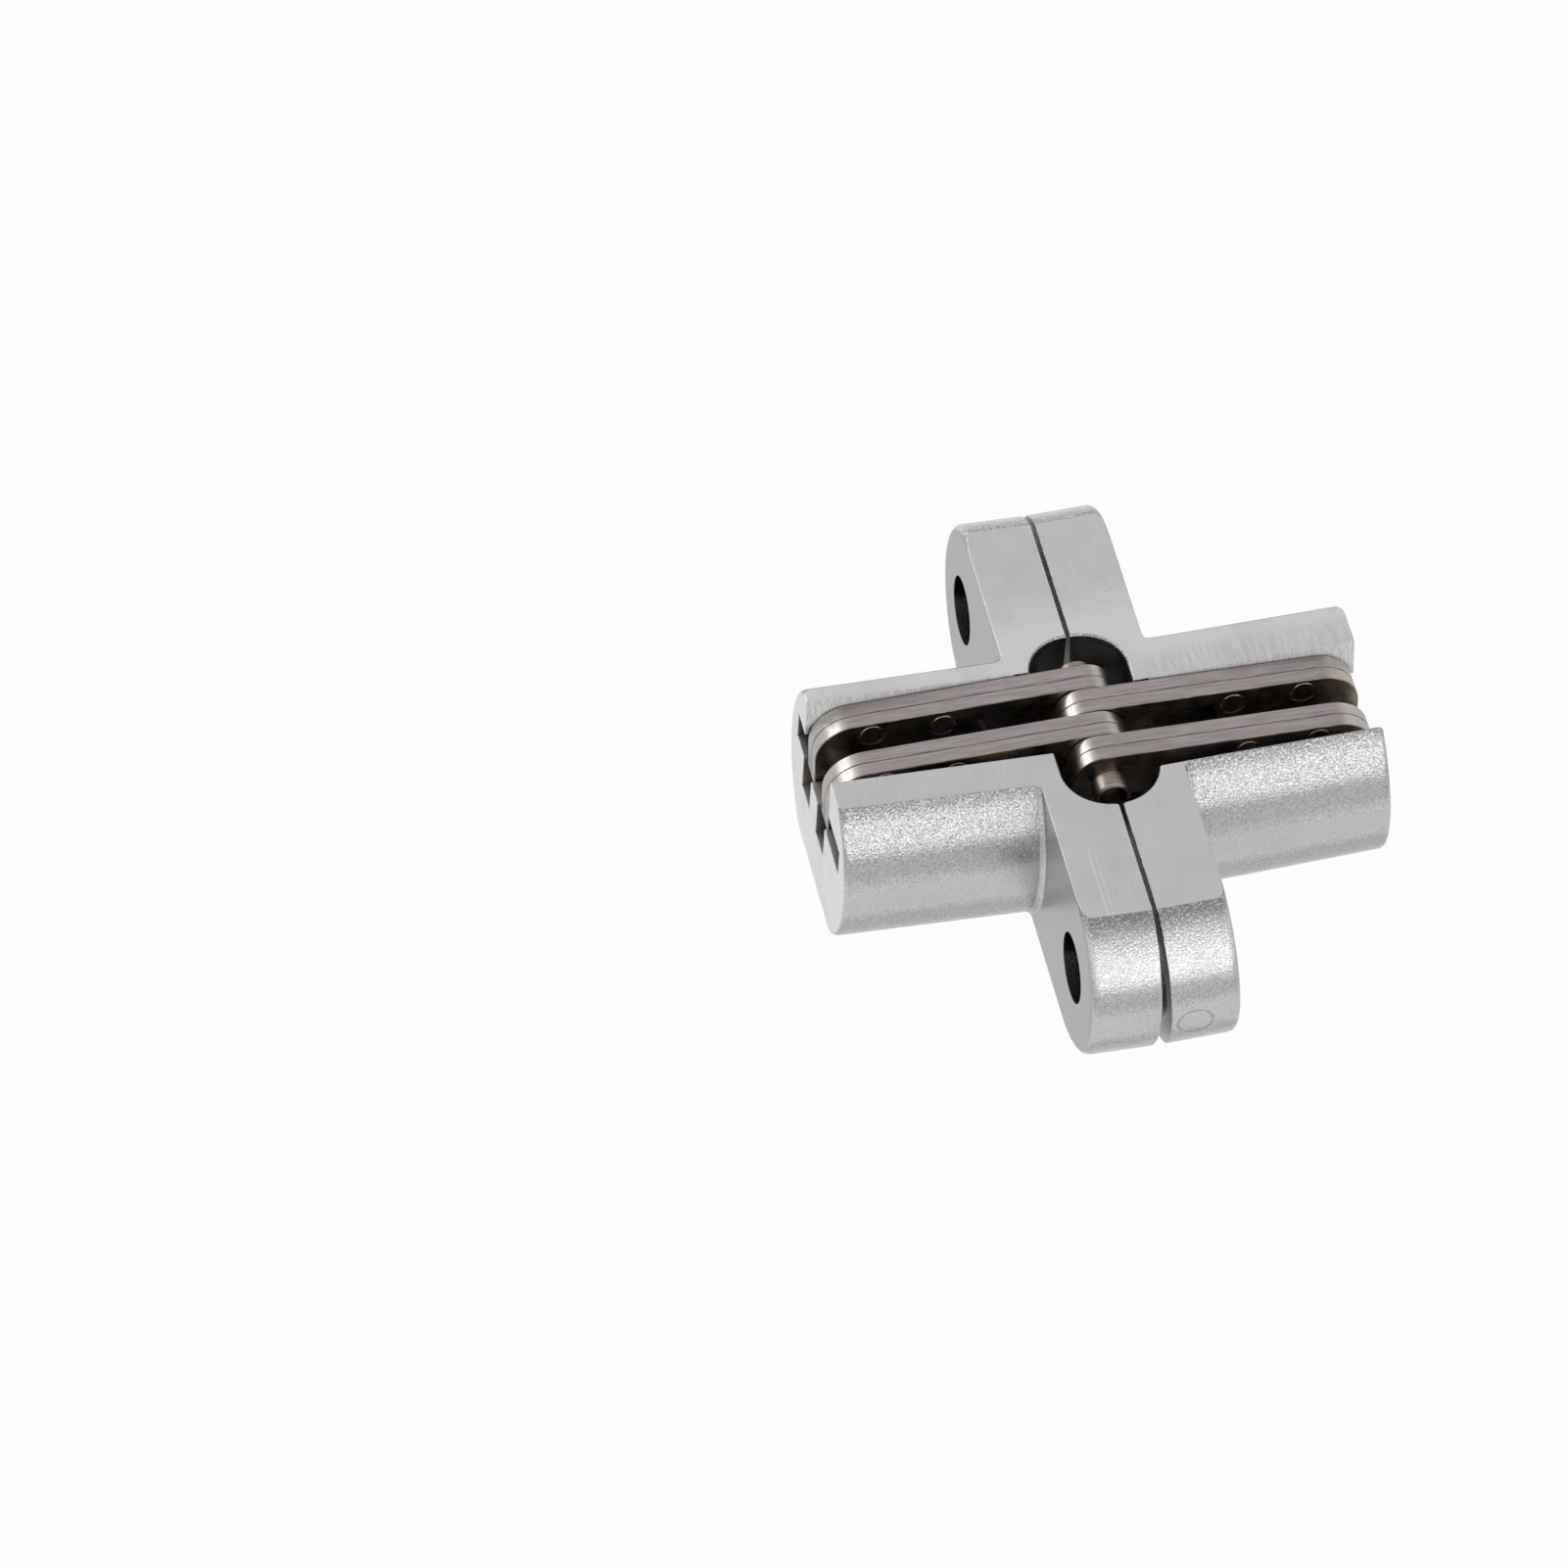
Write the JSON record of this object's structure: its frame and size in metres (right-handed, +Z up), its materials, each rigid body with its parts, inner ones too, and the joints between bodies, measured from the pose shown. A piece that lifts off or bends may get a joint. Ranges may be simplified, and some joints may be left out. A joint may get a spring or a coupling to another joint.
{
  "type": "concealed hinge",
  "caption": "Concealed cross hinge: die-cast bodies with screw flanges and round barrels, joined by crossing riveted steel links on a centre pin, shown shut.",
  "frame": {"origin": "on the ground under the hinge's middle, in the plane where the two bodies meet", "axes": "+X from the left body to the right one along the barrels, +Y along the flanges, away from the viewer of the picture, +Z up, away from the side to which the hinge opens"},
  "size_m": [0.0392, 0.045, 0.0137],
  "materials": {
    "casting": "die-cast zinc alloy, sandblasted, with milled flats",
    "link_plate": "stamped steel, brushed along its length",
    "rivet": "flush riveted end, satin",
    "pin": "turned steel, satin"
  },
  "bodies": {
    "left_body": {"left_body": "casting", "left_fixed_pin": "pin"},
    "right_links": {"right_rear_link_outer": "link_plate", "right_rear_link_inner": "link_plate", "right_front_link_outer": "link_plate", "right_front_link_inner": "link_plate", "right_rear_link_rivets": "rivet", "right_front_link_rivets": "rivet", "right_slide_pin": "pin", "centre_pin": "pin"},
    "left_links": {"left_rear_link_outer": "link_plate", "left_rear_link_inner": "link_plate", "left_front_link_outer": "link_plate", "left_front_link_inner": "link_plate", "left_rear_link_rivets": "rivet", "left_front_link_rivets": "rivet", "left_slide_pin": "pin"},
    "right_body": {"right_body": "casting", "right_fixed_pin": "pin"}
  },
  "joints": [
    {"name": "right_links_turn", "type": "hinge", "parent": "left_body", "child": "right_links", "pos_m": [-0.00286, 0, 0.00358], "axis": [0, 1, 0], "range_deg": [0, 124.36]},
    {"name": "left_links_turn", "type": "hinge", "parent": "right_links", "child": "left_links", "pos_m": [0, 0, 0.01122], "axis": [0, 1, 0], "range_deg": [-64.74, 0]},
    {"name": "right_body_turn", "type": "hinge", "parent": "left_links", "child": "right_body", "pos_m": [0.00286, 0, 0.00358], "axis": [0, 1, 0], "range_deg": [0, 124.36]}
  ],
  "couplings": [
    {"joint": "left_links_turn", "follows": "right_links_turn", "ratio": -0.52046},
    {"joint": "right_body_turn", "follows": "right_links_turn", "ratio": 1}
  ]
}
